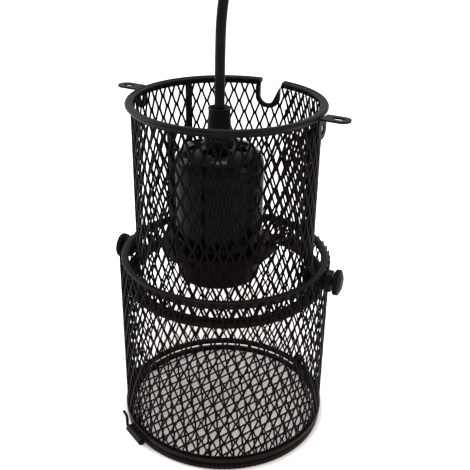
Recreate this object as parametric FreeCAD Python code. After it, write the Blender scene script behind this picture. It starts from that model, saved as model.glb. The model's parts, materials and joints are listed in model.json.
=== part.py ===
import FreeCAD, Part

import math
import os

from FreeCAD import Vector

os.makedirs("parts", exist_ok=True)

# Telescopic heat lamp guard: an upper tube of diamond mesh carries a lamp holder on three straps
# and slides in a wider mesh basket, which has two thumb screws and a hinged mesh lid underneath.
# Millimetres. +Z is up, the origin is the middle of the face that the guard stands on, and +X runs
# along the two hanging brackets.

# Heights of the main parts above the standing face
total_height = 229.0
basket_rim_top = 126.3
screw_right_height = 118.4
screw_left_height = 115.0
guide_top = 112.0
plate_height = 131.0
dome_height = 203.0
skirt_bottom = 112.0

# Sheet the walls are made of
mesh_thickness = 1.2
mesh_strand = 2.6

# Upper tube, inside the basket by the telescope's step
telescope_step = 11.5
upper_columns = 19
upper_rows = 6
bead_width = 3.3
bead_overhang = 3.2
hem_thickness = 0.6
hem_drop = 0.6
lip_depth = 1.6
lip_thickness = 0.7
groove_depth = 1.2
fit = 0.05

# Guide ring on a flat web at the foot of the upper tube
guide_height = 4.9
guide_width = 4.9
guide_play = 1.5

# Cable notch in the upper tube
notch_angle = 90.5
notch_width = 10.6
notch_depth = 16.7
notch_lean = 27.0
trim_width = 2.7
trim_leaning_width = 4.3
trim_overhang = 0.6

# Basket
basket_radius = 70.0
basket_columns = 20
basket_rows = 6
rim_height = 5.0
rim_width = 4.9
rim_rounding = 1.9
edge_below_rim_top = 0.8
bottom_rim_height = 3.7
bottom_rim_overhang = 0.6
bottom_rim_width = 3.6
lid_gap = 2.3
band_height = 3.2

# Lid
lid_ring_height = 3.7
lid_ring_width = 3.4
lid_ring_inset = 0.8
lid_mesh_thickness = 1.2
lid_mesh_drop = 1.3
lid_pitch_x = 13.0
lid_pitch_y = 21.0
lid_strand = 2.0
lid_smallest_share = 0.2
lid_turn = 2.0

# Hinge and catch of the lid
hinge_angle = 243.5
hinge_offset = 2.8
hinge_knuckle = 5.0
hinge_knuckle_length = 6.0
hinge_middle_length = 5.4
hinge_side_play = 0.3
hinge_leaf = 1.3
pin_diameter = 2.0
pin_play = 0.06
pin_head = 3.0
pin_head_length = 0.9
pin_bend = 2.2
pin_tail_rise = 8.4
pin_hook_length = 4.8
pin_hook_rise = 13.0
catch_width = 8.0
catch_thickness = 0.9
catch_play = 0.3
catch_above = 0.8
catch_lip = 3.0

# Thumb screws
screw_angle = 7.0
nut_across = 12.4
nut_length = 3.8
stud_diameter = 5.0
stud_play = 0.05
stud_tip_gap = 0.3
head_diameter = 16.8
head_length = 3.4
head_dome = 1.7
head_gap = 1.4
head_flat = 9.0
head_flutes = 28
flute_radius = 0.55
pad_margin = 2.0

# Hanging brackets
bracket_width = 11.0
bracket_thickness = 1.2
bracket_length = 17.8
bracket_drop = 13.8
bracket_top_gap = 0.9
bracket_bend = 1.6
bracket_gap = 0.1
slot_width = 4.4
slot_length = 7.6
slot_from_corner = 10.2
low_slot_length = 5.9
low_slot_from_top = 7.8

# Straps that carry the holder
strap_right_angle = 25.5
strap_back_angle = 145.5
strap_front_angle = 265.5
strap_width = 4.5
strap_thickness = 1.2
strap_bend_height = 143.0
strap_foot = 7.5
strap_bend = 1.6
strap_gap = 0.1
strap_top_gap = 1.2

# Holder plate and its screws
plate_radius = 37.7
plate_thickness = 1.5
plate_screw_radius = 34.0
plate_screw = 3.0
plate_screw_head = 5.4
plate_screw_head_height = 1.6
plate_nut_across = 5.5
plate_nut_height = 2.2

# Lamp holder, which hangs off the axis of the tubes
holder_shift = 4.5
holder_shift_angle = 208.5
body_radius = 28.6
neck_radius = 24.0
shell_wall = 2.2
dome_slope_drop = 6.0
dome_rounding = 12.0
vent_count = 8
vent_diameter = 7.6
vent_circle = 18.3
skirt_wall = 3.0
skirt_ribs = 36
skirt_rib = 0.5
neck_bottom = 114.5
socket_bore = 26.4
socket_wall = 0.5
socket_bottom = 115.0
socket_length = 21.0
socket_headroom = 1.0
ceramic_radius = 21.5
ceramic_lip = 0.5
ceramic_top = 150.0
contact_radius = 5.0
contact_height = 2.0
contact_drop = 0.6
rivet_radius = 2.0
terminal_offset = 14.0
terminal_radius = 3.2
terminal_height = 3.5
terminal_width = 7.0
terminal_depth = 9.0
terminal_head = 1.8
terminal_slot = 0.8

# Cord gland and cord
gland_base_radius = 7.8
gland_top_radius = 6.7
gland_top = 224.0
gland_lip = 0.5
gland_bore = 6.5
gland_flange = 9.4
gland_flange_height = 1.6
gland_shoulder = 1.2
cord_diameter = 6.3
cord_points = [(0.0, 0.0, 205.0), (0.0, 0.0, 236.0), (1.6, 0.9, 268.0), (4.0, 2.2, 302.0)]
grip_radius = 11.0
grip_height = 15.0

# Sizes that follow
upper_radius = basket_radius - telescope_step
upper_inside = upper_radius - mesh_thickness
basket_inside = basket_radius - mesh_thickness
bead_radius = bead_width / 2
bead_centre = upper_radius + bead_overhang - bead_radius
bead_height = total_height - bead_radius
bead_bottom = total_height - bead_width
upper_edge = bead_bottom + groove_depth
lip_bottom = bead_bottom - lip_depth
notch_bottom = total_height - notch_depth
notch_middle = notch_bottom + notch_width / 2
guide_outside = basket_inside - guide_play
guide_inside = guide_outside - guide_width
guide_bottom = guide_top - guide_height
web_top = guide_bottom + (guide_height + mesh_thickness) / 2
web_bottom = web_top - mesh_thickness
rim_outside = basket_inside
rim_inside = rim_outside - rim_width
basket_rim_bottom = basket_rim_top - rim_height
basket_edge = basket_rim_top - edge_below_rim_top
bottom_rim_bottom = lid_ring_height + lid_gap
bottom_rim_top = bottom_rim_bottom + bottom_rim_height
bottom_rim_outside = basket_radius + bottom_rim_overhang
bottom_rim_inside = bottom_rim_outside - bottom_rim_width
basket_foot = bottom_rim_top - groove_depth * 1.6
lid_ring_outside = bottom_rim_outside - lid_ring_inset
lid_ring_inside = lid_ring_outside - lid_ring_width
lid_mesh_radius = lid_ring_inside + 1.0
lid_mesh_top = lid_ring_height - lid_mesh_drop
lid_mesh_bottom = lid_mesh_top - lid_mesh_thickness
hinge_radius = bottom_rim_outside + hinge_offset
hinge_height = lid_ring_height + lid_gap / 2
plate_top = plate_height + plate_thickness
gland_neck = gland_base_radius - gland_shoulder
strap_outside = math.sqrt(upper_inside ** 2 - (strap_width / 2) ** 2) - strap_gap
nut_outside = basket_radius + nut_length
head_inside = nut_outside + head_gap
stud_tip = upper_radius + stud_tip_gap
socket_radius = socket_bore / 2
socket_outside = socket_radius + socket_wall
socket_top = socket_bottom + socket_length
socket_roof = socket_top + socket_headroom
contact_bottom = socket_roof - contact_drop
strap_angles = {
    "strap_right": strap_right_angle,
    "strap_back": strap_back_angle,
    "strap_front": strap_front_angle,
}
screws = {
    "right": (screw_angle, screw_right_height),
    "left": (screw_angle + 180, screw_left_height),
}
vertical = Vector(0, 0, 1)
centre = Vector(0, 0, 0)


def direction(degrees):
    angle = math.radians(degrees)
    return Vector(math.cos(angle), math.sin(angle), 0)


def rounded_wire(corners, roundings, place):
    """Closed outline through corners (a, b), each with its own rounding."""
    count = len(corners)
    starts = []
    ends = []
    middles = []
    for index, corner in enumerate(corners):
        before = Vector(*corners[index - 1], 0)
        here = Vector(*corner, 0)
        after = Vector(*corners[(index + 1) % count], 0)
        radius = roundings[index]
        if radius == 0:
            starts.append(here)
            ends.append(here)
            middles.append(None)
            continue
        back = (before - here).normalize()
        ahead = (after - here).normalize()
        half = back.getAngle(ahead) / 2
        reach = radius / math.tan(half)
        bisector = (back + ahead).normalize()
        hub = here + bisector * (radius / math.sin(half))
        starts.append(here + back * reach)
        ends.append(here + ahead * reach)
        middles.append(hub - bisector * radius)
    edges = []
    for index in range(count):
        if middles[index] is not None:
            arc = Part.Arc(
                place(starts[index]), place(middles[index]), place(ends[index])
            )
            edges.append(arc.toShape())
        line_start = ends[index]
        line_end = starts[(index + 1) % count]
        if line_start.distanceToPoint(line_end) > 1e-6:
            edges.append(Part.makeLine(place(line_start), place(line_end)))
    return Part.Wire(edges)


def upright(point):
    return Vector(point.x, 0, point.y)


def flat(point):
    return Vector(point.x, point.y, 0)


def turned(corners, roundings):
    """Solid of revolution about Z from a profile of (radius, height) corners."""
    face = Part.Face(rounded_wire(corners, roundings, upright))
    return face.revolve(centre, vertical, 360)


def ring(inside, outside, bottom, top, rounding=0.0):
    corners = [(inside, bottom), (outside, bottom), (outside, top), (inside, top)]
    return turned(corners, [rounding] * 4)


def tube(inside, outside, bottom, top):
    height = top - bottom
    foot = Vector(0, 0, bottom)
    outer = Part.makeCylinder(outside, height, foot)
    return outer.cut(Part.makeCylinder(inside, height, foot))


def extruded(corners, roundings, thickness, place=flat):
    face = Part.Face(rounded_wire(corners, roundings, place))
    normal = place(Vector(1, 0, 0)).cross(place(Vector(0, 1, 0)))
    return face.extrude(normal * thickness)


def facing(shape, degrees):
    """Turns a shape made along +X to face an angle about Z."""
    copy = shape.copy()
    copy.rotate(centre, vertical, degrees)
    return copy


def side_on(point):
    """Sketch seen from outside along -X: a runs along +Y and b up."""
    return Vector(0, point.x, point.y)


def radial_prism(corners, roundings, inside, outside):
    """Prism that passes through a wall at +X, from one radius to another."""
    prism = extruded(corners, roundings, outside - inside, side_on)
    prism.translate(Vector(inside, 0, 0))
    return prism


def diamond(half_width, half_height):
    return [(half_width, 0), (0, half_height), (-half_width, 0), (0, -half_height)]


def diamond_gaps(radius, bottom, top, columns, rows, blocked):
    """Gaps of an expanded sheet rolled to a tube, in staggered rows.

    The first and the last row are halves, so that strands run into both edges.
    """
    row_step = (top - bottom) / (rows - 1)
    half_pitch = math.pi * radius / columns
    slope = math.hypot(half_pitch, row_step)
    half_width = half_pitch - mesh_strand / 2 * slope / row_step
    half_height = row_step - mesh_strand / 2 * slope / half_pitch
    whole = diamond(half_width, half_height)
    upper_half = [whole[0], whole[1], whole[2]]
    lower_half = [whole[2], whole[3], whole[0]]
    gaps = []
    for row in range(rows):
        corners = whole
        if row == 0:
            corners = upper_half
        if row == rows - 1:
            corners = lower_half
        gap = radial_prism(
            corners,
            [0] * len(corners),
            radius - 4 * mesh_thickness,
            radius + 2 * mesh_thickness,
        )
        height = bottom + row_step * row
        gap.translate(Vector(0, 0, height))
        for column in range(columns):
            angle = 360 / columns * (column + row % 2 / 2)
            if not blocked(angle, height, half_width, half_height):
                gaps.append(facing(gap, angle))
    print("wall gaps", len(gaps))
    return gaps


def angle_between(first, second):
    return abs((first - second + 180) % 360 - 180)


def notch_cutter():
    """Clear way of the cable notch, open above the rim, upright on one side only."""
    half = notch_width / 2
    lean = math.radians(notch_lean)
    top = total_height + notch_width
    foot = half * (1 - math.sin(lean)) / math.cos(lean)
    reach = (half + (top - notch_middle) * math.sin(lean)) / math.cos(lean)
    corners = [(half, notch_bottom), (half, top), (-reach, top), (-foot, notch_bottom)]
    return through_upper_wall(corners, [half - 0.01, 0, 0, half - 0.01])


def trim_cutter():
    """Outline of the notch trim, as high as the lip of the rim."""
    upright = notch_width / 2 + trim_width
    leaning = notch_width / 2 + trim_leaning_width
    low = notch_bottom - trim_width
    corners = [(upright, low), (upright, lip_bottom), (-leaning, lip_bottom), (-leaning, low)]
    return through_upper_wall(corners, [upright, 0, 0, upright])


def through_upper_wall(corners, roundings):
    cutter = radial_prism(corners, roundings, upper_radius - 12, upper_radius + 12)
    return facing(cutter, notch_angle)


def near_notch(angle, height, half_width, half_height):
    """Whether a gap would cut into the edge that carries the notch trim."""
    turn = (angle - notch_angle + 180) % 360 - 180
    side = math.radians(turn) * upper_radius
    upright_reach = notch_width / 2 + trim_width + half_width
    leaning_reach = notch_width / 2 + trim_leaning_width + half_width
    bottom = notch_bottom - trim_width - half_height
    return -leaning_reach < side < upright_reach and height > bottom


def near_screw(angle, height, half_width, half_height):
    """Whether a gap would cut into the seat of a screw nut."""
    reach = nut_across / math.sqrt(3) + pad_margin
    for screw, screw_height in screws.values():
        side = math.radians(angle_between(angle, screw)) * basket_radius
        rise = abs(height - screw_height)
        if side / (half_width + reach) + rise / (half_height + reach) < 1:
            return True
    return False


def make_upper_mesh():
    """Straight wall of the upper tube."""
    wall = tube(upper_inside, upper_radius, web_bottom, upper_edge)
    gaps = diamond_gaps(
        upper_radius,
        web_top + band_height / 2,
        lip_bottom - band_height / 2,
        upper_columns,
        upper_rows,
        near_notch,
    )
    return wall.cut(gaps + [notch_cutter(), trim_cutter()])


def make_top_rim():
    """Rolled bead outside the sheet, with a hem over its edge and a thin lip outside."""
    bead = Part.makeTorus(bead_centre, bead_radius, Vector(0, 0, bead_height))
    lip = tube(upper_radius + fit, upper_radius + fit + lip_thickness, lip_bottom, bead_height)
    hem = ring(
        upper_inside - hem_thickness,
        bead_centre,
        upper_edge + fit,
        total_height - hem_drop,
        hem_thickness * 0.8,
    )
    groove = tube(
        upper_inside - fit, upper_radius + fit, bead_bottom - groove_depth, upper_edge + fit
    )
    rim = bead.fuse([lip, hem]).cut(groove).removeSplitter()
    return rim.cut(notch_cutter())


def make_notch_trim():
    """U-shaped edging of the cable notch, bent to the tube."""
    band = tube(
        upper_inside - trim_overhang,
        upper_radius + trim_overhang,
        notch_bottom - 2 * trim_width,
        lip_bottom,
    )
    return band.common(trim_cutter()).cut(notch_cutter())


def make_guide_ring():
    """Rolled ring on a flat web that is welded round the foot of the upper tube."""
    bead = ring(guide_inside, guide_outside, guide_bottom, guide_top, rim_rounding)
    web = ring(upper_radius + fit, guide_inside + guide_width / 2, web_bottom, web_top)
    return bead.fuse(web).removeSplitter()


def make_bracket(degrees):
    """Right-angled strip: one slotted leg points out, one hangs outside the tube."""
    corner = bead_centre + bead_radius + bracket_gap
    top = total_height - bracket_top_gap
    half = bracket_width / 2
    reach = corner + bracket_length
    tip = reach - half
    foot = top - bracket_drop + half
    profile = [
        (corner, foot - half),
        (corner + bracket_thickness, foot - half),
        (corner + bracket_thickness, top - bracket_thickness),
        (reach, top - bracket_thickness),
        (reach, top),
        (corner, top),
    ]
    bend = bracket_bend - bracket_thickness / 2
    strip = extruded(
        profile, [0, 0, bend, 0, 0, bend + bracket_thickness], bracket_width, upright
    )
    strip.translate(Vector(0, strip_shift(strip), 0))
    plan_end = Part.makeBox(bracket_width, bracket_width, bracket_width)
    plan_end.translate(Vector(tip, -half, top - half))
    plan_end = plan_end.cut(
        Part.makeCylinder(half, bracket_width, Vector(tip, 0, top - half))
    )
    low_end = Part.makeBox(bracket_width, bracket_width, half)
    low_end.translate(Vector(corner - half, -half, foot - half))
    low_end = low_end.cut(
        Part.makeCylinder(half, bracket_width, Vector(corner - half, 0, foot), Vector(1, 0, 0))
    )
    slot_half = slot_length / 2
    out_slot = extruded(
        [
            (corner + slot_from_corner - slot_half, -slot_width / 2),
            (corner + slot_from_corner + slot_half, -slot_width / 2),
            (corner + slot_from_corner + slot_half, slot_width / 2),
            (corner + slot_from_corner - slot_half, slot_width / 2),
        ],
        [slot_width / 2 - 1e-4] * 4,
        bracket_width,
    )
    out_slot.translate(Vector(0, 0, top - half))
    low_middle = top - low_slot_from_top
    down_slot = radial_prism(
        [
            (slot_width / 2, low_middle - low_slot_length / 2),
            (slot_width / 2, low_middle + low_slot_length / 2),
            (-slot_width / 2, low_middle + low_slot_length / 2),
            (-slot_width / 2, low_middle - low_slot_length / 2),
        ],
        [slot_width / 2 - 1e-4] * 4,
        corner - half,
        corner + half,
    )
    strip = strip.cut([plan_end, low_end, out_slot, down_slot])
    return facing(strip, degrees)


def strip_shift(strip):
    """Distance that centres a strip on the plane Y = 0."""
    box = strip.BoundBox
    return -(box.YMin + box.YMax) / 2


def strap_screw_radius(degrees):
    """Distance from the tubes' axis to the hole of the shifted plate that a strap meets."""
    away = math.radians(degrees - holder_shift_angle)
    across = holder_shift * math.sin(away)
    return holder_shift * math.cos(away) + math.sqrt(plate_screw_radius ** 2 - across ** 2)


def make_strap(degrees):
    """Flat strap: down the wall, inwards, then a foot that lies on the holder plate."""
    outside = strap_outside
    inside = outside - strap_thickness
    top = total_height - bead_width - strap_top_gap + bead_radius
    foot_top = plate_top + strap_thickness
    screw_radius = strap_screw_radius(degrees)
    foot_start = screw_radius + strap_foot / 2
    foot_end = screw_radius - strap_foot / 2
    lean = math.atan2(strap_bend_height - foot_top, inside - foot_start)
    knee = strap_thickness * math.tan(lean / 2)
    elbow = strap_thickness * math.tan((math.pi / 2 - lean) / 2)
    corners = [
        (foot_end, plate_top),
        (foot_start + knee, plate_top),
        (outside, strap_bend_height - elbow),
        (outside, top),
        (inside, top),
        (inside, strap_bend_height),
        (foot_start, foot_top),
        (foot_end, foot_top),
    ]
    inner = strap_bend - strap_thickness / 2
    outer = inner + strap_thickness
    strip = extruded(corners, [0, inner, outer, 0, 0, inner, outer, 0], strap_width, upright)
    strip.translate(Vector(0, strip_shift(strip), 0))
    hole = Part.makeCylinder(
        plate_screw / 2 + fit,
        4 * strap_thickness,
        Vector(screw_radius, 0, plate_top - 2 * strap_thickness),
    )
    return facing(strip.cut(hole), degrees)


def make_plate():
    """Round plate clamped under the holder, with three holes for the strap screws."""
    plate = off_axis(ring(neck_radius + fit, plate_radius, plate_height, plate_top))
    low = vertical * (plate_height - plate_thickness)
    for degrees in strap_angles.values():
        spot = direction(degrees) * strap_screw_radius(degrees) + low
        plate = plate.cut(Part.makeCylinder(plate_screw / 2 + fit, 3 * plate_thickness, spot))
    return plate


def make_strap_screws():
    """Three pan-head screws, each with its nut under the plate."""
    pieces = []
    head_bottom = plate_top + strap_thickness
    for degrees in strap_angles.values():
        spot = direction(degrees) * strap_screw_radius(degrees)
        shank_bottom = plate_height - plate_nut_height - plate_screw / 3
        shank = Part.makeCylinder(
            plate_screw / 2, head_bottom - shank_bottom, spot + vertical * shank_bottom
        )
        head = Part.makeCylinder(
            plate_screw_head / 2, plate_screw_head_height, spot + vertical * head_bottom
        )
        screw = shank.fuse(head).removeSplitter()
        top_edges = [
            edge
            for edge in screw.Edges
            if abs(edge.BoundBox.ZMin - head_bottom - plate_screw_head_height) < 1e-6
        ]
        screw = screw.makeFillet(plate_screw_head_height * 0.6, top_edges)
        nut = hexagon(plate_nut_across, plate_nut_height)
        nut.translate(spot + vertical * (plate_height - plate_nut_height))
        bore = Part.makeCylinder(
            plate_screw / 2 + fit, 3 * plate_nut_height, spot + vertical * shank_bottom
        )
        nut = nut.cut(bore)
        pieces.extend([screw, nut])
    return Part.makeCompound(pieces)


def hexagon(across, height):
    corners = []
    for index in range(6):
        spot = direction(60 * index + 30) * (across / math.sqrt(3))
        corners.append((spot.x, spot.y))
    return extruded(corners, [0] * 6, height)


def off_axis(shape):
    """Moves a piece of the lamp holder from the tubes' axis to the holder's own."""
    copy = shape.copy()
    copy.translate(direction(holder_shift_angle) * holder_shift)
    return copy


def make_holder_shell():
    """Glossy cap of the holder: fluted neck below, domed shoulder with round vents above."""
    dome_edge = dome_height - dome_slope_drop
    outer = turned(
        [
            (0, neck_bottom),
            (neck_radius, neck_bottom),
            (neck_radius, plate_top),
            (body_radius, plate_top),
            (body_radius, dome_edge),
            (0, dome_height),
        ],
        [0, 0, 0, 0.6, dome_rounding, 0],
    )
    wall = shell_wall
    inner_bottom = neck_bottom - 1
    inner = turned(
        [
            (0, inner_bottom),
            (neck_radius - wall, inner_bottom),
            (neck_radius - wall, plate_top + wall),
            (body_radius - wall, plate_top + wall),
            (body_radius - wall, dome_edge - wall),
            (0, dome_height - wall),
        ],
        [0, 0, 0, 0, dome_rounding - wall, 0],
    )
    shell = outer.cut(inner)
    cuts = [Part.makeCylinder(gland_neck + fit, 20, Vector(0, 0, dome_height - 15))]
    for index in range(vent_count):
        lean = Vector(0, 0, -1) - direction(360 / vent_count * index) * 0.45
        spot = direction(360 / vent_count * index) * vent_circle + vertical * (dome_height + 3)
        cuts.append(Part.makeCylinder(vent_diameter / 2, 16, spot - lean * -0.01, lean))
    return off_axis(shell.cut(cuts))


def make_skirt_ring():
    """Ribbed ring screwed on the neck, which clamps the plate against the shell."""
    outside = neck_radius + skirt_wall
    body = ring(neck_radius + fit, outside, skirt_bottom, plate_height)
    lip = ring(neck_radius - shell_wall, neck_radius + skirt_wall / 2, skirt_bottom, neck_bottom - fit)
    body = body.fuse(lip).removeSplitter()
    grooves = []
    for index in range(skirt_ribs):
        spot = direction(360 / skirt_ribs * index) * (outside + skirt_rib * 0.2)
        grooves.append(
            Part.makeCylinder(
                skirt_rib, plate_height - skirt_bottom, spot + vertical * (skirt_bottom + skirt_wall)
            )
        )
    return off_axis(body.cut(grooves))


def make_ceramic_sleeve():
    """Ceramic ring round the screw shell."""
    low = socket_bottom - ceramic_lip
    return off_axis(ring(socket_outside + fit, ceramic_radius, low, socket_roof))


def make_ceramic_base():
    """Ceramic disc over the screw shell, with the pocket of the centre contact."""
    disc = turned(
        [
            (0, socket_roof),
            (ceramic_radius, socket_roof),
            (ceramic_radius, ceramic_top),
            (0, ceramic_top),
        ],
        [0, 0, 0.8, 0],
    )
    pocket = Part.makeCylinder(contact_radius + fit, contact_height, Vector(0, 0, contact_bottom))
    rivet = Part.makeCylinder(rivet_radius + fit, ceramic_top, Vector(0, 0, contact_bottom))
    return off_axis(disc.cut([pocket, rivet]))


def make_screw_shell():
    """Brass screw shell, a plain tube open at both ends."""
    return off_axis(tube(socket_radius, socket_outside, socket_bottom, socket_top))


def make_centre_contact():
    """Contact button in its pocket, with its rivet through the ceramic."""
    seat = contact_bottom + contact_height
    return off_axis(
        turned(
            [
                (0, contact_bottom),
                (contact_radius, contact_bottom),
                (contact_radius, seat),
                (rivet_radius, seat),
                (rivet_radius, ceramic_top + 1.0),
                (0, ceramic_top + 1.0),
            ],
            [0, 0.4, 0, 0, 0.4, 0],
        )
    )


def make_terminals():
    """Two terminal blocks with slotted screws on top of the ceramic."""
    pieces = []
    for side in (-1, 1):
        spot = Vector(terminal_offset * side, 0, ceramic_top)
        block = Part.makeBox(
            terminal_width,
            terminal_depth,
            terminal_height,
            spot - Vector(terminal_width / 2, terminal_depth / 2, 0),
        )
        head = Part.makeCylinder(terminal_radius, terminal_head, spot + vertical * terminal_height)
        slot = Part.makeBox(
            terminal_width,
            terminal_slot,
            terminal_slot,
            spot
            + Vector(
                -terminal_width / 2,
                -terminal_slot / 2,
                terminal_height + terminal_head - terminal_slot,
            ),
        )
        pieces.append(block.fuse(head).removeSplitter().cut(slot))
    return off_axis(Part.makeCompound(pieces))


def make_cord_gland():
    """Tapered collar with an open lip, seated in the dome by its flange."""
    base = dome_height - dome_slope_drop * gland_flange / body_radius
    under = dome_height - shell_wall - 2.0
    bore = gland_bore / 2
    outer = turned(
        [
            (0, under),
            (gland_neck, under),
            (gland_neck, dome_height),
            (gland_flange, dome_height),
            (gland_flange, dome_height + gland_flange_height),
            (gland_base_radius, dome_height + gland_flange_height),
            (gland_top_radius, gland_top - 2 * gland_lip - 1),
            (gland_top_radius + gland_lip, gland_top),
            (0, gland_top),
        ],
        [0, 0, 0, 0, 0.6, 1.0, 0.8, 0.4, 0],
    )
    hole = Part.makeCylinder(bore, gland_top - under, Vector(0, 0, under))
    mouth = Part.makeCone(bore, gland_top_radius - 0.8, 5, Vector(0, 0, gland_top - 5))
    seat = Part.makeCone(body_radius, 0, dome_slope_drop, Vector(0, 0, dome_height - dome_slope_drop))
    collar = outer.cut([hole, mouth])
    flange_skirt = tube(gland_base_radius, gland_flange, base - 0.5, dome_height + 0.2).cut(seat)
    return off_axis(collar.fuse(flange_skirt).removeSplitter())


def bent_path(points, reaches):
    """Straight runs joined by tangent arcs, which start a given length before each corner."""
    edges = []
    start = points[0]
    for index, reach in enumerate(reaches):
        corner = points[index + 1]
        back = (points[index] - corner).normalize()
        ahead = (points[index + 2] - corner).normalize()
        half_turn = (math.pi - back.getAngle(ahead)) / 2
        arc_start = corner + back * reach
        arc_end = corner + ahead * reach
        chord_middle = (arc_start + arc_end) * 0.5
        radius = reach / math.tan(half_turn)
        print("bend radius", round(radius, 1))
        sag = radius * (1 - math.cos(half_turn))
        middle = chord_middle + (corner - chord_middle).normalize() * sag
        edges.append(Part.makeLine(start, arc_start))
        edges.append(Part.Arc(arc_start, middle, arc_end).toShape())
        start = arc_end
    edges.append(Part.makeLine(start, points[-1]))
    return Part.Wire(edges)


def make_cord():
    """Cord along points chosen by hand, with wide bends."""
    points = [Vector(*point) for point in cord_points]
    runs = [(after - before).Length for before, after in zip(points, points[1:])]
    reaches = [0.45 * min(pair) for pair in zip(runs, runs[1:])]
    path = bent_path(points, reaches)
    section = Part.Wire(Part.makeCircle(cord_diameter / 2, points[0], points[1] - points[0]))
    cord = path.makePipeShell([section], True, False)
    expected = math.pi * (cord_diameter / 2) ** 2 * path.Length
    print("cord length", round(path.Length, 2), "volume ratio", round(cord.Volume / expected, 5))
    return off_axis(cord)


def make_ceiling_grip():
    """Small domed cord grip that holds the cord from above."""
    foot = Vector(*cord_points[-1])
    lean = FreeCAD.Rotation(vertical, foot - Vector(*cord_points[-2]))
    grip = turned(
        [
            (0, 0),
            (cord_diameter / 2 + 1.4, 0),
            (cord_diameter / 2 + 1.8, 5.0),
            (grip_radius, 8.0),
            (grip_radius, grip_height),
            (0, grip_height),
        ],
        [0, 0.8, 1.5, 2.0, 0, 0],
    )
    grip.Placement = FreeCAD.Placement(foot, lean)
    return off_axis(grip)


def make_basket_mesh():
    """Wall of the basket, closed behind the two screw nuts."""
    wall = tube(basket_inside, basket_radius, basket_foot, basket_edge)
    gaps = diamond_gaps(
        basket_radius,
        bottom_rim_top + band_height / 2,
        basket_rim_bottom - band_height / 2,
        basket_columns,
        basket_rows,
        near_screw,
    )
    for degrees, height in screws.values():
        gaps.append(screw_bore(degrees, height, stud_diameter / 2 + 0.3))
    return wall.cut(gaps)


def screw_bore(degrees, height, radius):
    bore = Part.makeCylinder(radius, basket_radius, Vector(upper_radius, 0, height), Vector(1, 0, 0))
    return facing(bore, degrees)


def make_basket_top_rim():
    return ring(rim_inside, rim_outside, basket_rim_bottom, basket_rim_top, rim_rounding)


def make_basket_bottom_rim():
    """Folded band that closes over the lower edge of the wall."""
    band = ring(
        bottom_rim_inside, bottom_rim_outside, bottom_rim_bottom, bottom_rim_top, 0.9
    )
    groove = tube(basket_inside - fit, basket_radius + fit, basket_foot - fit, bottom_rim_top + 1)
    return band.cut(groove)


def make_screw_nut(degrees, height):
    """Hexagon nut welded outside the wall, its foot following the curve."""
    nut = hexagon(nut_across, nut_outside - basket_inside)
    nut.rotate(centre, Vector(0, 1, 0), 90)
    nut.translate(Vector(basket_inside, 0, height))
    wall = Part.makeCylinder(basket_radius, total_height)
    nut = facing(nut, degrees).cut(wall)
    return nut.cut(screw_bore(degrees, height, stud_diameter / 2 + stud_play))


def make_thumb_stud(degrees, height):
    """Plain steel stud from the knob to just clear of the upper tube."""
    radius = stud_diameter / 2
    inside = stud_tip
    outside = head_inside + head_length * 0.7
    stud = turned(
        [(0, inside), (radius, inside), (radius, outside), (0, outside)], [0, 0.5, 0, 0]
    )
    return laid_out(stud, degrees, height)


def make_thumb_knob(degrees, height):
    """Fluted round knob with a domed face."""
    radius = head_diameter / 2
    outside = head_inside + head_length
    knob = turned(
        [
            (0, head_inside),
            (radius, head_inside),
            (radius, outside),
            (head_flat / 2, outside + head_dome),
            (0, outside + head_dome),
        ],
        [0, 0.9, 0.6, 2.5, 0],
    )
    blind = Part.makeCylinder(
        stud_diameter / 2, head_length * 0.7, Vector(0, 0, head_inside)
    )
    grooves = [blind]
    for index in range(head_flutes):
        spot = direction(360 / head_flutes * index) * (radius + flute_radius * 0.35)
        grooves.append(
            Part.makeCylinder(flute_radius, 3 * head_length, spot + vertical * (head_inside - head_length))
        )
    return laid_out(knob.cut(grooves), degrees, height)


def laid_out(shape, degrees, height):
    """Lays a shape turned about Z along the axis of a thumb screw."""
    copy = shape.copy()
    copy.rotate(centre, Vector(0, 1, 0), 90)
    copy.translate(Vector(0, 0, height))
    return facing(copy, degrees)


def make_lid_ring():
    """Folded band round the lid, grooved for the edge of its mesh."""
    band = ring(lid_ring_inside, lid_ring_outside, 0, lid_ring_height, 0.7)
    groove = Part.makeCylinder(
        lid_mesh_radius + fit,
        lid_mesh_thickness + 2 * fit,
        Vector(0, 0, lid_mesh_bottom - fit),
    )
    return band.cut(groove)


def make_lid_mesh():
    """Flat expanded sheet in the lid ring."""
    sheet = Part.makeCylinder(
        lid_mesh_radius, lid_mesh_thickness, Vector(0, 0, lid_mesh_bottom)
    )
    half_x = lid_pitch_x / 2
    half_y = lid_pitch_y / 2
    slope = math.hypot(half_x, half_y)
    gap_x = half_x - lid_strand / 2 * slope / half_y
    gap_y = half_y - lid_strand / 2 * slope / half_x
    limit = lid_ring_inside - lid_strand
    gap = extruded(diamond(gap_x, gap_y), [0, 0, 0, 0], 6)
    gap.translate(Vector(0, 0, lid_mesh_bottom - 2))
    window = Part.makeCylinder(limit, 12, Vector(0, 0, -4))
    rows = int(limit / half_y) + 2
    columns = int(limit / half_x) + 2
    gaps = []
    for row in range(-rows, rows + 1):
        for column in range(-columns, columns + 1):
            if (row + column) % 2:
                continue
            x = column * half_x
            y = row * half_y
            if math.hypot(x, y) > limit + gap_y:
                continue
            opening = gap.copy()
            opening.translate(Vector(x, y, 0))
            opening = opening.common(window)
            if opening.Volume > gap.Volume * lid_smallest_share:
                gaps.append(opening)
    print("lid gaps", len(gaps))
    return facing(sheet.cut(gaps), lid_turn)


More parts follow.
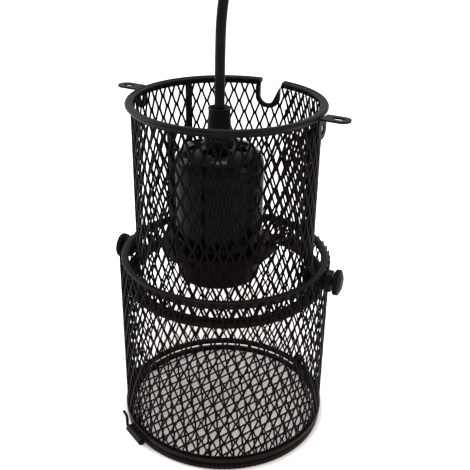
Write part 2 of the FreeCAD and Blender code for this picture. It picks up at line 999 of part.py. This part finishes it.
def knuckle(start, length, leaf_low, leaf_inside):
    """One strap rolled round the pin, made with the hinge line along Y."""
    barrel = Part.makeCylinder(
        hinge_knuckle / 2, length, Vector(hinge_radius, start, hinge_height), Vector(0, 1, 0)
    )
    leaf = Part.makeBox(
        hinge_radius - leaf_inside, length, hinge_leaf, Vector(leaf_inside, start, leaf_low)
    )
    bore = Part.makeCylinder(
        pin_diameter / 2 + pin_play,
        2 * length,
        Vector(hinge_radius, start - length / 2, hinge_height),
        Vector(0, 1, 0),
    )
    return barrel.fuse(leaf).removeSplitter().cut(bore)


def make_hinge_eye_lid():
    """Middle eye of the hinge, on the lid ring."""
    low = hinge_height - hinge_knuckle / 2
    eye = knuckle(-hinge_middle_length / 2, hinge_middle_length, low, lid_ring_inside)
    return facing(eye.cut(Part.makeCylinder(lid_ring_outside, 30)), hinge_angle)


def make_hinge_eyes_basket():
    """Two outer eyes of the hinge, on the lower rim of the basket."""
    low = hinge_height + hinge_knuckle / 2 - hinge_leaf
    near = hinge_middle_length / 2 + hinge_side_play
    eyes = []
    for start in (near, -near - hinge_knuckle_length):
        eye = knuckle(start, hinge_knuckle_length, low, bottom_rim_inside)
        eyes.append(eye.cut(Part.makeCylinder(bottom_rim_outside, 30)))
    return facing(Part.makeCompound(eyes), hinge_angle)


def make_hinge_pin():
    """Pin with a head at one end and a tail at the other, bent up and hooked outwards."""
    half = hinge_middle_length / 2 + hinge_side_play + hinge_knuckle_length
    line = Vector(0, 1, 0)
    start = Vector(hinge_radius, half + hinge_side_play, hinge_height)
    knee = Vector(hinge_radius, -half - hinge_side_play - pin_bend, hinge_height)
    hook = knee + vertical * pin_tail_rise
    rise = math.radians(pin_hook_rise)
    tip = hook + Vector(0, -math.cos(rise), math.sin(rise)) * pin_hook_length
    hook_reach = pin_bend * math.tan((math.pi / 2 - rise) / 2)
    path = bent_path([start, knee, hook, tip], [pin_bend, hook_reach])
    section = Part.Wire(Part.makeCircle(pin_diameter / 2, start, line))
    rod = path.makePipeShell([section], True, False)
    head = Part.makeCylinder(pin_head / 2, pin_head_length, start, line)
    return facing(rod.fuse(head).removeSplitter(), hinge_angle)


def make_lid_catch():
    """Spring tongue on the lid that grips the basket's lower rim, with a lip to pull."""
    inside = bottom_rim_outside + catch_play
    outside = inside + catch_thickness
    low = 0.6
    top = bottom_rim_top + catch_above
    step = lid_ring_height - 0.7
    corners = [
        (lid_ring_outside - 1.0, low),
        (outside, low),
        (outside, top - catch_thickness),
        (outside + catch_lip, top),
        (outside + catch_lip, top + catch_thickness),
        (inside, top),
        (inside, low + step),
        (lid_ring_outside - 1.0, low + step),
    ]
    roundings = [0, 0.3, 0.6, 0.2, 0.2, 0.8, 0, 0]
    strip = extruded(corners, roundings, catch_width, upright)
    strip.translate(Vector(0, strip_shift(strip), 0))
    strip = strip.cut(Part.makeCylinder(lid_ring_outside, 30))
    return facing(strip, hinge_angle + 180)


def build():
    nodes = {
        "upper_mesh": make_upper_mesh(),
        "top_rim": make_top_rim(),
        "notch_trim": make_notch_trim(),
        "guide_ring": make_guide_ring(),
        "bracket_right": make_bracket(0),
        "bracket_left": make_bracket(180),
        "holder_plate": make_plate(),
        "strap_screws": make_strap_screws(),
        "holder_shell": make_holder_shell(),
        "skirt_ring": make_skirt_ring(),
        "ceramic_sleeve": make_ceramic_sleeve(),
        "ceramic_base": make_ceramic_base(),
        "screw_shell": make_screw_shell(),
        "centre_contact": make_centre_contact(),
        "terminals": make_terminals(),
        "cord_gland": make_cord_gland(),
        "cord": make_cord(),
        "ceiling_grip": make_ceiling_grip(),
        "basket_mesh": make_basket_mesh(),
        "basket_top_rim": make_basket_top_rim(),
        "basket_bottom_rim": make_basket_bottom_rim(),
        "lid_ring": make_lid_ring(),
        "lid_mesh": make_lid_mesh(),
        "lid_catch": make_lid_catch(),
        "hinge_eye_lid": make_hinge_eye_lid(),
        "hinge_eyes_basket": make_hinge_eyes_basket(),
        "hinge_pin": make_hinge_pin(),
    }
    for name, degrees in strap_angles.items():
        nodes[name] = make_strap(degrees)
    for side, (degrees, height) in screws.items():
        nodes["screw_nut_" + side] = make_screw_nut(degrees, height)
        nodes["thumb_stud_" + side] = make_thumb_stud(degrees, height)
        nodes["thumb_knob_" + side] = make_thumb_knob(degrees, height)
    return nodes


for node, shape in build().items():
    if not shape.isValid():
        print("not valid:", node)
    shape.exportStep(f"parts/{node}.step")
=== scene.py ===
import json
import math

import bpy
from mathutils import Matrix, Vector

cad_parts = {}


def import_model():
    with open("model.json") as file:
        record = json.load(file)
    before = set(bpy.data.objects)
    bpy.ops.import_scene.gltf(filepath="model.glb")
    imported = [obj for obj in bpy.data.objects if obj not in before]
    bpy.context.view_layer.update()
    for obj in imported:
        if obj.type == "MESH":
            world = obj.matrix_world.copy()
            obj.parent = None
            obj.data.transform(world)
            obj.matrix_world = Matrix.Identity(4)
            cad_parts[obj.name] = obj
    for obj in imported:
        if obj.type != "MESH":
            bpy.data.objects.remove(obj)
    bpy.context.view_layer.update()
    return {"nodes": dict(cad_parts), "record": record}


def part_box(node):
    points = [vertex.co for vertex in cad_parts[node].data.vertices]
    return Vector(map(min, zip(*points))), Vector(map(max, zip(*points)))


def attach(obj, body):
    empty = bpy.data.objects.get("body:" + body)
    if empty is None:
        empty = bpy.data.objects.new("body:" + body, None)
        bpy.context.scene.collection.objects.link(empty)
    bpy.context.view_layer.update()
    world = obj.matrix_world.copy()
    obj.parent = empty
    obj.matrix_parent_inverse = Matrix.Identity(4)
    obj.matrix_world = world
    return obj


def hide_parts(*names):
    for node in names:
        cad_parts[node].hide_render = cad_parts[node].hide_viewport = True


# Bulb cage guard: fine expanded mesh, finishes, cord, camera and light around the frame.
# The frame's own axes are kept: +Z up, +X along the two slotted brackets.
# Angles are in degrees. Each group of values below says its unit of length.

MILLIMETRE = 0.001

# Camera in metres, fitted to the rims of the photograph
camera_azimuth = 28.5
camera_distance = 0.44064
camera_height = 0.35200
camera_yaw = 0.821
camera_pitch = -25.951
camera_roll = 1.001
camera_focal_pixels = 742.74
picture_pixels = 470
sensor_width = 36.0
nearest_seen = 0.01
farthest_seen = 50

# Strands of expanded mesh, millimetres
strand_width = 1.38
basket_strand_width = 1.08
lid_strand_width = 1.36
strand_thickness = 0.8
strand_tilt = -7.0
strand_corner = 0.3
bond_length = 1.2
bend_share = 0.14
mitre_limit = 0.75
parts_near_cut = 3

# Sheets of expanded mesh, millimetres
diamond_width = 7.4
diamond_height = 15.0
lid_diamond_width = 8.9
lid_diamond_height = 15.4
lid_mesh_turn = 5.6
rim_overlap = 0.6
notch_angle = 90.5
notch_width = 10.6
notch_depth = 16.7
notch_lean = 27.0
trim_middle = 1.3
trim_leaning_middle = 3.0
screw_clearance = 3.4

# Where the ends of each rolled sheet lie on each other, degrees and millimetres
upper_seam = (-6.0, 75.5)
basket_seam = (203.0, 250.0)
seam_inset = 0.9
seam_across = 0.9
seam_along = 0.2
strap_clearance = 3.2

# Cord, millimetres from the gland's axis and the floor
cord_route = [(0.0, 0.0, 205.0), (0.0, 0.0, 248.0), (0.7, 0.4, 285.0), (4.0, 2.2, 302.0)]
cord_diameter = 6.3
cord_bevel_steps = 10
cord_length_steps = 24

# Stage, metres, watts and strengths
floor_half = 5.0
floor_colour = (0.80, 0.76, 0.74)
floor_roughness = 0.8
floor_specular = 0.2
# Painted shade on the floor: its glow is weaker and warmer in a circle under the guard and in an
# ellipse behind it, a painted shadow
glow_near = 0.0695
glow_far = 0.077
painted_shadow_near = 0.045
painted_shadow_far = 0.085
painted_shadow_length = 2.0
painted_shadow_shift = 0.07
painted_shade_colour = (0.244, 0.208, 0.200)
world_light = 0.36
world_light_colour = (1.0, 0.99, 0.98)
lamp_target = (0.0, 0.0, 0.12)
lamps = {
    "light_over": {"place": (0.1, -0.1, 1.5), "width": 0.5, "height": 0.5, "power": 8.5},
    "light_left": {"place": (-1.35, -0.25, 0.8), "width": 0.7, "height": 0.9, "power": 17},
    "light_right": {"place": (1.3, 0.1, 0.7), "width": 0.7, "height": 0.9, "power": 6},
}

# Coats: grain in cycles a metre, relief in metres
noise_low = 0.3
noise_high = 0.7
blotch_scale = 90
blotch_detail = 4
grain_detail = 3
coats = {
    # Satin black powder coat
    "black_paint": {
        "dark": (0.0036, 0.0025, 0.0021),
        "pale": (0.0070, 0.0054, 0.0048),
        "roughness": (0.38, 0.56),
        "grain": 2600,
        "relief": 0.00003,
        "specular": 0.075,
    },
    # The same coat on the expanded mesh, made darker and duller than on the rims: painted shade
    "shaded_mesh_paint": {
        "dark": (0.0030, 0.0018, 0.0014),
        "pale": (0.0058, 0.0040, 0.0034),
        "roughness": (0.42, 0.60),
        "grain": 2600,
        "relief": 0.00003,
        "specular": 0.035,
    },
    # Thinner and shinier black paint on the straps
    "strap_paint": {
        "dark": (0.0044, 0.0036, 0.0033),
        "pale": (0.0084, 0.0070, 0.0064),
        "roughness": (0.30, 0.44),
        "grain": 1800,
        "relief": 0.00002,
        "specular": 0.08,
    },
    # Moulded black plastic of the skirt ring, the gland, the ceiling grip and the knobs
    "satin_black": {
        "dark": (0.0040, 0.0030, 0.0027),
        "pale": (0.0074, 0.0058, 0.0052),
        "roughness": (0.40, 0.56),
        "grain": 3200,
        "relief": 0.00002,
        "specular": 0.05,
    },
    # Soft black sheath of the cord
    "cord_sheath": {
        "dark": (0.0082, 0.0066, 0.0059),
        "pale": (0.0146, 0.0122, 0.0110),
        "roughness": (0.22, 0.32),
        "grain": 1500,
        "relief": 0.00002,
        "specular": 0.05,
    },
    # White glazed core of the lamp holder
    "ceramic": {
        "dark": (0.72, 0.70, 0.66),
        "pale": (0.80, 0.78, 0.74),
        "roughness": (0.18, 0.30),
        "grain": 900,
        "relief": 0.00003,
    },
    # Bare brass of the screw shell, the contact and the terminals
    "brass": {
        "dark": (0.60, 0.42, 0.17),
        "pale": (0.74, 0.56, 0.28),
        "roughness": (0.22, 0.40),
        "grain": 2000,
        "relief": 0.00002,
        "metallic": 1.0,
    },
}

# Hard glossy black of the lamp holder, slightly wavy
gloss_colour = (0.0018, 0.0016, 0.0015)
gloss_specular = 0.08
gloss_clean = 0.07
gloss_middle = 0.09
gloss_dusty = 0.2
dust_scale = 260
dust_detail = 5
wave_scale = 55
wave_detail = 2
wave_relief = 0.00012


def camera():
    """Camera at the photograph's viewing angle."""
    turn = Matrix.Rotation(math.radians(camera_azimuth), 3, "Z")
    yaw = math.radians(camera_yaw)
    pitch = math.radians(camera_pitch)
    roll = math.radians(camera_roll)
    ahead = Vector(
        (math.sin(yaw) * math.cos(pitch), math.cos(yaw) * math.cos(pitch), math.sin(pitch))
    )
    level = Vector((math.cos(yaw), -math.sin(yaw), 0))
    upward = level.cross(ahead)
    right = level * math.cos(roll) + upward * math.sin(roll)
    up = upward * math.cos(roll) - level * math.sin(roll)
    axes = Matrix((turn @ right, turn @ up, turn @ -ahead)).transposed()
    place = turn @ Vector((0, -camera_distance, 0))
    place.z = camera_height
    data = bpy.data.cameras.new("camera")
    data.sensor_width = sensor_width
    data.lens = camera_focal_pixels * sensor_width / picture_pixels
    data.clip_start = nearest_seen
    data.clip_end = farthest_seen
    item = bpy.data.objects.new("camera", data)
    item.matrix_world = Matrix.Translation(place) @ axes.to_4x4()
    bpy.context.scene.collection.objects.link(item)
    bpy.context.scene.camera = item


def new_material(name, colour, roughness, specular):
    """Material with one shader, and the shader, for finishing."""
    material = bpy.data.materials.new(name)
    material.use_nodes = True
    shader = material.node_tree.nodes["Principled BSDF"]
    shader.inputs["Base Color"].default_value = (*colour, 1)
    shader.inputs["Roughness"].default_value = roughness
    shader.inputs["Specular IOR Level"].default_value = specular
    return material, shader


def noise(tree, scale, detail):
    """Noise in the piece's own coordinates, in cycles a metre."""
    place = tree.nodes.new("ShaderNodeTexCoord")
    texture = tree.nodes.new("ShaderNodeTexNoise")
    texture.inputs["Scale"].default_value = scale
    texture.inputs["Detail"].default_value = detail
    tree.links.new(place.outputs["Object"], texture.inputs["Vector"])
    return texture.outputs["Fac"]


def spread(tree, value, low, high):
    """Maps the middle of a noise to a range."""
    mapping = tree.nodes.new("ShaderNodeMapRange")
    mapping.inputs["From Min"].default_value = noise_low
    mapping.inputs["From Max"].default_value = noise_high
    mapping.inputs["To Min"].default_value = low
    mapping.inputs["To Max"].default_value = high
    tree.links.new(value, mapping.inputs["Value"])
    return mapping.outputs["Result"]


def blend_colours(tree, value, first, second):
    """Goes from the first colour to the second as a value goes from 0 to 1."""
    mix = tree.nodes.new("ShaderNodeMix")
    mix.data_type = "RGBA"
    mix.inputs["A"].default_value = (*first, 1)
    mix.inputs["B"].default_value = (*second, 1)
    tree.links.new(value, mix.inputs["Factor"])
    return mix.outputs["Result"]


def bump(tree, shader, value, height):
    """Relief of a real height in metres."""
    relief = tree.nodes.new("ShaderNodeBump")
    relief.inputs["Strength"].default_value = 1.0
    relief.inputs["Distance"].default_value = height
    tree.links.new(value, relief.inputs["Height"])
    tree.links.new(relief.outputs["Normal"], shader.inputs["Normal"])


def coated(name, dark, pale, roughness, grain, relief, specular=0.5, metallic=0.0):
    """Paint, plastic or metal with uneven gloss, faint blotches and a fine grain."""
    material, shader = new_material(name, dark, roughness[0], specular)
    shader.inputs["Metallic"].default_value = metallic
    tree = material.node_tree
    blotches = spread(tree, noise(tree, blotch_scale, blotch_detail), 0, 1)
    fine = noise(tree, grain, grain_detail)
    tree.links.new(blend_colours(tree, blotches, dark, pale), shader.inputs["Base Color"])
    tree.links.new(spread(tree, fine, *roughness), shader.inputs["Roughness"])
    bump(tree, shader, fine, relief)
    return material


def glossy_black():
    """Glossy plastic of one colour, with dust that dulls it in places."""
    material, shader = new_material("glossy_black", gloss_colour, gloss_middle, gloss_specular)
    tree = material.node_tree
    dust = noise(tree, dust_scale, dust_detail)
    tree.links.new(spread(tree, dust, gloss_clean, gloss_dusty), shader.inputs["Roughness"])
    bump(tree, shader, noise(tree, wave_scale, wave_detail), wave_relief)
    return material


def finishes():
    """Material of each of the frame's slots, and a darker copy of the coat for the expanded
    mesh, which paints shade on it.
    """
    materials = {name: coated(name, **look) for name, look in coats.items()}
    materials["glossy_black"] = glossy_black()
    return materials


def finish_nodes(materials):
    """Gives every node of the frame the finish of its slot."""
    slots = {row["node"]: row["material_slot"] for row in frame["record"]["subparts"]}
    for name, item in frame["nodes"].items():
        item.data.materials.clear()
        item.data.materials.append(materials[slots[name]])


def zigzag(step, pitch, periods, phase, level, width):
    """Middle line of one strand as (along, across, out), which touches its neighbours at bonds.

    It has the two ends of each bond, and a point close to each bend of a leg between bonds.
    """
    half_width = width / 2
    tilt = math.radians(strand_tilt)
    low = (level * step + half_width * math.cos(tilt), half_width * math.sin(tilt))
    high = ((level + 1) * step - half_width * math.cos(tilt), -half_width * math.sin(tilt))
    half_bond = bond_length / 2
    half_pitch = pitch / 2
    leg = half_pitch - bond_length
    points = []
    for period in range(periods):
        start = (period + phase) * pitch
        for offset, first, second in ((0, low, high), (half_pitch, high, low)):
            begin = start + offset
            points.append((begin - half_bond, *first))
            points.append((begin + half_bond, *first))
            for share in (bend_share, 1 - bend_share):
                across = first[0] + (second[0] - first[0]) * share
                out = first[1] + (second[1] - first[1]) * share
                points.append((begin + half_bond + leg * share, across, out))
    return points


def strand_section(width):
    """Chamfered and tilted rectangle of a strand, as (across, out) from its middle."""
    tilt = math.radians(strand_tilt)
    inset = 1 - strand_corner
    section = []
    for wide, thick in (
        (1, -inset), (1, inset), (inset, 1), (-inset, 1),
        (-1, inset), (-1, -inset), (-inset, -1), (inset, -1),
    ):
        half_width = wide * width / 2
        half_thickness = thick * strand_thickness / 2
        across = half_width * math.cos(tilt) - half_thickness * math.sin(tilt)
        out = half_width * math.sin(tilt) + half_thickness * math.cos(tilt)
        section.append((across, out))
    return section


def strand_rings(points, width):
    """Section corners at each point of a strand, still as (along, across, out)."""
    section = strand_section(width)
    last = len(points) - 1
    rings = []
    for index, point in enumerate(points):
        before = points[max(index - 1, 0)]
        after = points[min(index + 1, last)]
        first = Vector((point[0] - before[0], point[1] - before[1]))
        second = Vector((after[0] - point[0], after[1] - point[1]))
        if index == 0:
            first = second
        if index == last:
            second = first
        tangent = (first.normalized() + second.normalized()).normalized()
        stretch = 1 / max(mitre_limit, tangent.dot(first.normalized()))
        normal = Vector((-tangent.y, tangent.x)) * stretch
        rings.append(
            [
                (point[0] + normal.x * across, point[1] + normal.y * across, point[2] + out)
                for across, out in section
            ]
        )
    return rings


def add_strand(points, width, wrap, corners, faces):
    """Adds one strand's skin, wrapped on its surface, to a mesh being made."""
    rings = strand_rings(points, width)
    base = len(corners)
    size = len(rings[0])
    for ring in rings:
        corners.extend(wrap(*corner) for corner in ring)
    for index in range(len(rings) - 1):
        here = base + index * size
        there = here + size
        for side in range(size):
            turn = (side + 1) % size
            faces.append((here + side, there + side, there + turn, here + turn))
    last = base + (len(rings) - 1) * size
    faces.append(tuple(base + side for side in range(size)))
    faces.append(tuple(last + side for side in reversed(range(size))))


def kept_runs(points, blocked):
    """Stretches of a strand that lie outside a blocked area."""
    runs = [[]]
    for point in points:
        if blocked(point[0], point[1]):
            runs.append([])
        else:
            runs[-1].append(point)
    return [run for run in runs if len(run) > 1]


def finer(points):
    """The same line with more points, so that a cut falls close to its edge."""
    fine = []
    for first, second in zip(points, points[1:]):
        for part in range(parts_near_cut):
            share = part / parts_near_cut
            fine.append(tuple(a + (b - a) * share for a, b in zip(first, second)))
    fine.append(points[-1])
    return fine


def add_sheet(step, pitch, low, high, levels, width, wrap, blocked, mesh, phase=0.0, offset=0.0):
    """Adds a sheet of expanded mesh, whose strands run the long way of its diamonds."""
    corners, faces = mesh
    start = math.floor(low / pitch) - 1
    periods = math.ceil((high - low) / pitch) + 3
    for level in levels:
        shift = start + phase + level % 2 / 2
        points = zigzag(step, pitch, periods, shift, level + offset, width)
        points = [point for point in points if low <= point[0] <= high]
        fine = finer(points)
        if any(blocked(point[0], point[1]) for point in fine):
            points = fine
        for run in kept_runs(points, blocked):
            add_strand(run, width, wrap, corners, faces)


def tube_wrap(radius, bottom, shift=0.0):
    """Rolls a sheet into a tube whose strands run upwards."""

    def wrap(along, across, out):
        angle = -across / radius
        distance = radius + shift + out
        return Vector(
            (distance * math.cos(angle), distance * math.sin(angle), bottom + along)
        ) * MILLIMETRE

    return wrap


def wall_side(across, degrees, radius):
    """Distance along a wall from a direction, for a place across its sheet."""
    turn = 2 * math.pi * radius
    side = -across - math.radians(degrees) * radius
    return (side + turn / 2) % turn - turn / 2


def beyond_seam(across, seam, radius):
    """Whether a place is outside the stretch where a sheet's ends overlap."""
    middle = (seam[0] + seam[1]) / 2
    half = math.radians(seam[1] - seam[0]) / 2 * radius
    return abs(wall_side(across, middle, radius)) > half


def add_tube(radius, bottom, top, width, seam, blocked, strap_angles, mesh):
    """Adds a rolled tube of expanded mesh, with a second layer where its sheet overlaps."""
    turn = 2 * math.pi * radius
    columns = round(turn / diamond_width)
    rows = round((top - bottom) / (diamond_height / 2))
    step = turn / columns / 2
    pitch = 2 * (top - bottom) / rows
    levels = range(2 * columns)
    outer = tube_wrap(radius, bottom)
    add_sheet(step, pitch, 0, top - bottom, levels, width, outer, blocked, mesh)

    def seam_blocked(along, across):
        if beyond_seam(across, seam, radius) or blocked(along, across):
            return True
        return any(
            abs(wall_side(across, degrees, radius)) < strap_clearance for degrees in strap_angles
        )

    inner = tube_wrap(radius, bottom, -seam_inset)
    add_sheet(
        step, pitch, 0, top - bottom, levels, width, inner, seam_blocked, mesh, seam_along,
        seam_across,
    )


def mesh_piece(name, corners, faces, smooth=True):
    """Object made of corners in metres and faces."""
    mesh = bpy.data.meshes.new(name)
    mesh.from_pydata([tuple(corner) for corner in corners], [], faces)
    mesh.validate()
    mesh.update()
    if smooth:
        mesh.shade_smooth()
    item = bpy.data.objects.new(name, mesh)
    bpy.context.scene.collection.objects.link(item)
    return item


def box_mm(node):
    """Low and high corner of a node of the frame, in millimetres."""
    low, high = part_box(node)
    return low / MILLIMETRE, high / MILLIMETRE


def wall_middle(node):
    """Radius of the middle of a tube's wall."""
    radii = [math.hypot(v.co.x, v.co.y) for v in frame["nodes"][node].data.vertices]
    return (min(radii) + max(radii)) / 2 / MILLIMETRE


def upper_wall(material):
    """Straight wall of the upper tube, from the web of its guide ring into the top rim."""
    low, high = box_mm("upper_mesh")
    rim_high = box_mm("top_rim")[1]
    radius = wall_middle("upper_mesh")
    strap_low, strap_high = box_mm("strap_right")
    strap = math.degrees(
        math.atan2(strap_low.y + strap_high.y, strap_low.x + strap_high.x)
    )

    def blocked(along, across):
        side = wall_side(across, notch_angle, radius)
        half = notch_width / 2
        rise = low.z + along - (rim_high.z - notch_depth + half)
        if rise > 0:
            lean = math.radians(notch_lean)
            edge = (half + rise * math.sin(lean)) / math.cos(lean)
            return -max(half + trim_leaning_middle, edge) < side < half + trim_middle
        if side < 0:
            side = min(0, side + trim_leaning_middle - trim_middle)
        return math.hypot(side, rise) < half + trim_middle

    mesh = ([], [])
    add_tube(radius, low.z, high.z, strand_width, upper_seam, blocked, [strap], mesh)
    piece = mesh_piece("upper_expanded_mesh", *mesh)
    piece.data.materials.append(material)
    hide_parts("upper_mesh")
    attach(piece, "upper_guard")


def basket_wall(material):
    """Basket wall, from the lower rim to just over the middle of the upper rim."""
    low, high = box_mm("basket_mesh")
    rim_low, rim_high = box_mm("basket_top_rim")
    outside = (high.x - low.x) / 2
    inside = (rim_high.x - rim_low.x) / 2
    radius = (outside + inside) / 2
    screws = []
    for node in ("screw_nut_right", "screw_nut_left"):
        nut_low, nut_high = box_mm(node)
        middle = (nut_low + nut_high) / 2
        screws.append((math.degrees(math.atan2(middle.y, middle.x)), middle.z - low.z))

    def blocked(along, across):
        return any(
            math.hypot(wall_side(across, degrees, radius), along - height) < screw_clearance
            for degrees, height in screws
        )

    mesh = ([], [])
    top = rim_high.z - rim_overlap
    add_tube(radius, low.z, top, basket_strand_width, basket_seam, blocked, [], mesh)
    piece = mesh_piece("basket_expanded_mesh", *mesh)
    piece.data.materials.append(material)
    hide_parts("basket_mesh")
    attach(piece, "basket")


def lid_sheet(material):
    """Flat expanded mesh in the lid ring, its rows turned from the brackets' line."""
    low, high = box_mm("lid_mesh")
    radius = (high.x - low.x) / 2 - rim_overlap
    middle = (low.z + high.z) / 2
    turn = Matrix.Rotation(math.radians(lid_mesh_turn), 3, "Z")
    step = lid_diamond_width / 2
    reach = math.ceil(radius / step)

    def wrap(along, across, out):
        return (turn @ Vector((-across, along, middle + out))) * MILLIMETRE

    def blocked(along, across):
        return math.hypot(along, across) > radius

    mesh = ([], [])
    levels = range(-reach, reach)
    add_sheet(
        step, lid_diamond_height, -radius, radius, levels, lid_strand_width, wrap, blocked, mesh
    )
    piece = mesh_piece("lid_expanded_mesh", *mesh)
    piece.data.materials.append(material)
    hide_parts("lid_mesh")
    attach(piece, "lid")


def hanging_cord(material):
    """Cord that hangs from its grip into the gland."""
    low, high = box_mm("cord_gland")
    foot = Vector(((low.x + high.x) / 2, (low.y + high.y) / 2, 0))
    route = [foot + Vector(point) for point in cord_route]
    curve = bpy.data.curves.new("mains_cord", "CURVE")
    curve.dimensions = "3D"
    curve.bevel_depth = cord_diameter / 2 * MILLIMETRE
    curve.bevel_resolution = cord_bevel_steps
    curve.resolution_u = cord_length_steps
    curve.use_fill_caps = True
    spline = curve.splines.new("NURBS")
    spline.points.add(len(route) - 1)
    for point, place in zip(spline.points, route):
        point.co = (*(place * MILLIMETRE), 1)
    spline.order_u = 3
    spline.use_endpoint_u = True
    item = bpy.data.objects.new("mains_cord", curve)
    bpy.context.scene.collection.objects.link(item)
    curve.materials.append(material)
    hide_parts("cord")
    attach(item, "upper_guard")


def only_seen(tree, seen, unseen):
    """Mixes two shaders: one for camera, glossy and transmission rays, one for the rest."""
    path = tree.nodes.new("ShaderNodeLightPath")
    rays = path.outputs["Is Camera Ray"]
    for kind in ("Is Glossy Ray", "Is Transmission Ray"):
        either = tree.nodes.new("ShaderNodeMath")
        either.operation = "ADD"
        either.use_clamp = True
        tree.links.new(rays, either.inputs[0])
        tree.links.new(path.outputs[kind], either.inputs[1])
        rays = either.outputs[0]
    mix = tree.nodes.new("ShaderNodeMixShader")
    tree.links.new(rays, mix.inputs["Fac"])
    tree.links.new(unseen, mix.inputs[1])
    tree.links.new(seen, mix.inputs[2])
    return mix.outputs[0]


def world():
    """White surroundings to the eye and in reflections, dimmer as a light."""
    item = bpy.data.worlds.new("world")
    item.use_nodes = True
    tree = item.node_tree
    tree.nodes.clear()
    seen = tree.nodes.new("ShaderNodeBackground")
    seen.inputs["Color"].default_value = (1, 1, 1, 1)
    seen.inputs["Strength"].default_value = 1.0
    light = tree.nodes.new("ShaderNodeBackground")
    light.inputs["Color"].default_value = (*world_light_colour, 1)
    light.inputs["Strength"].default_value = world_light
    output = tree.nodes.new("ShaderNodeOutputWorld")
    mixed = only_seen(tree, seen.outputs[0], light.outputs[0])
    tree.links.new(mixed, output.inputs["Surface"])
    bpy.context.scene.world = item


def floor_whiteness(tree, position):
    """Painted shade mask: from 0 in a circle under the guard and in a painted shadow's ellipse
    behind it to 1 farther off.
    """
    turned = tree.nodes.new("ShaderNodeMapping")
    turned.vector_type = "TEXTURE"
    turn = math.radians(camera_azimuth)
    turned.inputs["Location"].default_value = (
        -math.sin(turn) * painted_shadow_shift, math.cos(turn) * painted_shadow_shift, 0
    )
    turned.inputs["Rotation"].default_value = (0, 0, turn)
    turned.inputs["Scale"].default_value = (1, painted_shadow_length, 1)
    tree.links.new(position, turned.inputs["Vector"])
    whiteness = tree.nodes.new("ShaderNodeMath")
    whiteness.operation = "MINIMUM"
    ranges = (
        (position, glow_near, glow_far),
        (turned.outputs["Vector"], painted_shadow_near, painted_shadow_far),
    )
    for index, (vector, near, far) in enumerate(ranges):
        distance = tree.nodes.new("ShaderNodeVectorMath")
        distance.operation = "LENGTH"
        tree.links.new(vector, distance.inputs[0])
        fade = tree.nodes.new("ShaderNodeMapRange")
        fade.interpolation_type = "SMOOTHSTEP"
        fade.inputs["From Min"].default_value = near
        fade.inputs["From Max"].default_value = far
        tree.links.new(distance.outputs["Value"], fade.inputs["Value"])
        tree.links.new(fade.outputs["Result"], whiteness.inputs[index])
    return whiteness.outputs[0]


def floor():
    """Pale floor that keeps the guard's shadow from the lamps, with painted shade: its glow is
    weaker and warmer in a circle under the guard and in an ellipse behind it, and it is white
    elsewhere.

    It is clear from below, so that a lowered lid can be seen from there.
    """
    corners = [
        (-floor_half, -floor_half, 0),
        (floor_half, -floor_half, 0),
        (floor_half, floor_half, 0),
        (-floor_half, floor_half, 0),
    ]
    item = mesh_piece("floor", corners, [(0, 1, 2, 3)], smooth=False)
    material, shader = new_material("floor", floor_colour, floor_roughness, floor_specular)
    tree = material.node_tree
    place = tree.nodes.new("ShaderNodeNewGeometry")
    whiteness = floor_whiteness(tree, place.outputs["Position"])
    # The glow goes from the painted shade colour, under and behind the guard, to white farther
    # off
    glow = tree.nodes.new("ShaderNodeEmission")
    colour = blend_colours(tree, whiteness, painted_shade_colour, (1, 1, 1))
    tree.links.new(colour, glow.inputs["Color"])
    lit = tree.nodes.new("ShaderNodeAddShader")
    tree.links.new(shader.outputs[0], lit.inputs[0])
    tree.links.new(glow.outputs[0], lit.inputs[1])
    above = only_seen(tree, lit.outputs[0], shader.outputs[0])
    clear = tree.nodes.new("ShaderNodeBsdfTransparent")
    sides = tree.nodes.new("ShaderNodeMixShader")
    tree.links.new(place.outputs["Backfacing"], sides.inputs["Fac"])
    tree.links.new(above, sides.inputs[1])
    tree.links.new(clear.outputs[0], sides.inputs[2])
    tree.links.new(sides.outputs[0], tree.nodes["Material Output"].inputs["Surface"])
    item.data.materials.append(material)


def soft_box(name, place, width, height, power):
    """Rectangular soft light that faces the middle of the guard."""
    data = bpy.data.lights.new(name, "AREA")
    data.shape = "RECTANGLE"
    data.size = width
    data.size_y = height
    data.energy = power
    item = bpy.data.objects.new(name, data)
    item.location = place
    facing = Vector(lamp_target) - Vector(place)
    item.rotation_euler = facing.to_track_quat("-Z", "Y").to_euler()
    bpy.context.scene.collection.objects.link(item)


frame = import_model()
materials = finishes()
finish_nodes(materials)
camera()
world()
floor()
for name, lamp in lamps.items():
    soft_box(name, **lamp)
hanging_cord(materials["cord_sheath"])
# The expanded mesh takes the darker copy of the black coat, which paints shade on its strands
upper_wall(materials["shaded_mesh_paint"])
basket_wall(materials["shaded_mesh_paint"])
lid_sheet(materials["shaded_mesh_paint"])
bpy.context.scene.view_settings.view_transform = "Standard"
